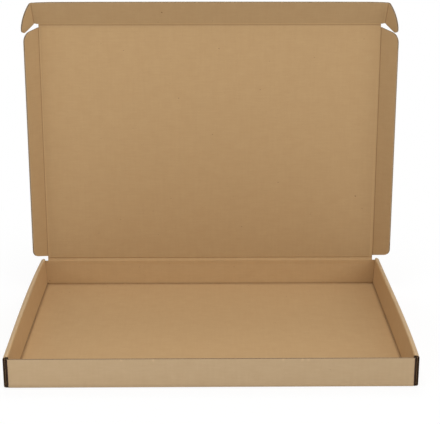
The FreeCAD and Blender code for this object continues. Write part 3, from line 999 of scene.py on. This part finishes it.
def ear_outline():
    """The ear's rim: a straight neck, a long round sweep and two rounded corners."""
    a, b = np.array([EAR_OUT, -1.6]), np.array([1.2, EAR_TOP])
    chord = b - a
    half = np.linalg.norm(chord) / 2
    inward = np.array([-chord[1], chord[0]]) / (2 * half)
    middle = (a + b) / 2 + inward * math.sqrt(EAR_ROUND**2 - half**2)
    p, q = a - middle, b - middle
    sweep = math.atan2(p[0] * q[1] - p[1] * q[0], p @ q)
    arc = [middle + spun(p, f) for f in np.linspace(0, sweep, 15)]
    neck = [(0, 1.9, 0), (7.5, -0.3, 0), (EAR_OUT + 0.1, -2.5, 2.8)]
    return cut_outline(neck + [(x, y, 0) for x, y in arc[3:-1]] + [(1.2, EAR_TOP, 0.4), (0, EAR_TOP, 0)])


def lock_ear(side, name):
    """The left (-1) or right (1) lock ear and its crease strip."""
    lean_up = math.cos(EAR_LEAN) * TUCK_UP + side * math.sin(EAR_LEAN) * X
    out0 = math.cos(EAR_LEAN) * side * X - math.sin(EAR_LEAN) * TUCK_UP
    out, inner = turned(out0, TUCK_IN, EAR_ANGLE)
    crease = TUCK_LINE + np.array([side * EAR_X, 0, 0])
    rim = ear_outline()
    s = dust_columns(HALF_STRIP, rim[:, 0].max() - 0.002)
    low, high = flute_ends(rim, s)
    ear = board_sheet(f"ear_board_{name}", flat_panel(crease, out, lean_up, inner), s, (low, high), np.linspace(0, 1, 14),
                      lambda s, t: tuck_flat(side * (EAR_X + s), t), low="open", high="open", end="groove")
    attach(ear, f"{name}_lock_ear", f"{name}_lock_ear")
    # painted shade: the ear a little darker
    painted_light_and_scuffs(ear, -0.02)

    bend = crease_line(EAR_ANGLE)
    mark = crease_press(bend.length / 2 + 0.3, depth=0.3)

    def surface(s, t):
        p, n = bend.at(s)
        return (crease + t[..., None] * lean_up + p[..., :1] * out0 + p[..., 1:] * TUCK_IN,
                n[..., :1] * out0 + n[..., 1:] * TUCK_IN)
    cols = across(0, bend.length, 0.2)
    away = (cols / bend.length - 0.5) * 2 * HALF_STRIP          # distance from the crease, on the flat sheet
    strip_low = np.interp(away, [-2, 0, 2], [1.6, 1.9, 1.3])
    strip_high = np.interp(away, [-2, 0, 1, 2], [21.1, EAR_TOP, 21.2, high[0]])
    strip = board_sheet(f"ear_crease_{name}", surface, cols, (strip_low, strip_high), np.linspace(0, 1, 14),
                        lambda s, t: tuck_flat(side * (TUCK_X + s), t), lambda s, t: mark(s), low="open", high="open")
    joint_strip(strip, f"{name}_lock_ear", "tuck_flap", f"{name}_lock_ear")


lock_ear(-1, "left")
lock_ear(1, "right")

# %% [markdown]
# ## Floor, light and background
#
# The box stands on a plain white floor that still takes its shadow. Seen by the
# camera, the floor is part lit paper and part plain white, and further out it
# is plain white only, so it runs on into the background without a line.

# %% Floor
def studio_floor():
    bpy.ops.mesh.primitive_plane_add(size=6, location=(0, 0, -0.0002))
    floor = bpy.context.active_object
    floor.name = "studio_floor"
    r = Recipe("studio_floor")
    r.shader.inputs["Base Color"].default_value = (0.86, 0.86, 0.86, 1)
    r.shader.inputs["Roughness"].default_value = 0.9
    seen = r.add("ShaderNodeLightPath")
    any_seen = r.add("ShaderNodeMath", {0: seen.outputs["Is Camera Ray"], 1: seen.outputs["Is Glossy Ray"]},
                     operation="MAXIMUM")
    place = r.add("ShaderNodeTexCoord").outputs["Object"]
    away = r.add("ShaderNodeVectorMath", {0: place}, operation="LENGTH").outputs["Value"]
    far = r.add("ShaderNodeMapRange", {"Value": away, "From Min": 0.22, "From Max": 0.42, "To Min": 0.86, "To Max": 1.0},
                interpolation_type="SMOOTHSTEP").outputs[0]
    lit = r.add("ShaderNodeBsdfDiffuse", {"Color": (1, 1, 1, 1)})
    plain = r.add("ShaderNodeEmission", {"Color": (1, 1, 1, 1), "Strength": 1.0})
    soft = r.add("ShaderNodeMixShader", {0: far, 1: lit.outputs[0], 2: plain.outputs[0]})
    both = r.add("ShaderNodeMixShader", {0: any_seen.outputs[0], 1: r.shader.outputs[0], 2: soft.outputs[0]})
    r.links.new(both.outputs[0], r.nodes["Material Output"].inputs["Surface"])
    floor.data.materials.append(r.material)


studio_floor()

# %% [markdown]
# Five big soft lamps and a pale surround light the box, at a level where a
# colour looks about as it is written. One lamp would be simpler, but each panel
# faces another way and wants its own share of light. The surround lights the box
# dimly from all sides. It is pure white only for rays of the camera, of
# reflections and through clear things.

# %% Lamps and surround
def soft_lamp(name, place, target, size, power):
    """An area lamp at `place` that faces `target`, in metres and watts."""
    data = bpy.data.lights.new(name, "AREA")
    data.shape, data.size, data.size_y = "RECTANGLE", size[0], size[1]
    data.energy = power
    lamp = bpy.data.objects.new(name, data)
    bpy.context.scene.collection.objects.link(lamp)
    lamp.location = place
    lamp.rotation_euler = (Vector(target) - Vector(place)).to_track_quat("-Z", "Y").to_euler()


soft_lamp("right_lamp", (1.3, -2.2, 1.5), (0, 0.05, 0.1), (1.4, 1.2), 9)
soft_lamp("right_side_lamp", (2.4, -1.4, 1.2), (0, 0.05, 0.1), (1.4, 1.2), 15)
soft_lamp("left_side_lamp", (-2.3, -1.4, 1.2), (0, 0.05, 0.1), (1.4, 1.2), 9)
soft_lamp("top_lamp", (0.0, -0.4, 2.0), (0, 0, 0.1), (1.2, 1.0), 14)
soft_lamp("back_lamp", (0.0, 1.2, 1.9), (0, 0, 0.1), (1.4, 1.0), 11)

world = bpy.data.worlds.new("surround")
bpy.context.scene.world = world
world.use_nodes = True
nodes, links = world.node_tree.nodes, world.node_tree.links
for node in list(nodes):
    nodes.remove(node)
path = nodes.new("ShaderNodeLightPath")
dim, white = nodes.new("ShaderNodeBackground"), nodes.new("ShaderNodeBackground")
dim.inputs["Color"].default_value, dim.inputs["Strength"].default_value = (1, 1, 1, 1), 0.42
white.inputs["Color"].default_value, white.inputs["Strength"].default_value = (1, 1, 1, 1), 1.0
seen_a, seen_b = nodes.new("ShaderNodeMath"), nodes.new("ShaderNodeMath")
seen_a.operation = seen_b.operation = "MAXIMUM"
links.new(path.outputs["Is Camera Ray"], seen_a.inputs[0])
links.new(path.outputs["Is Glossy Ray"], seen_a.inputs[1])
links.new(seen_a.outputs[0], seen_b.inputs[0])
links.new(path.outputs["Is Transmission Ray"], seen_b.inputs[1])
pick, out = nodes.new("ShaderNodeMixShader"), nodes.new("ShaderNodeOutputWorld")
links.new(seen_b.outputs[0], pick.inputs[0])
links.new(dim.outputs[0], pick.inputs[1])
links.new(white.outputs[0], pick.inputs[2])
links.new(pick.outputs[0], out.inputs["Surface"])
bpy.context.scene.view_settings.view_transform = "Standard"
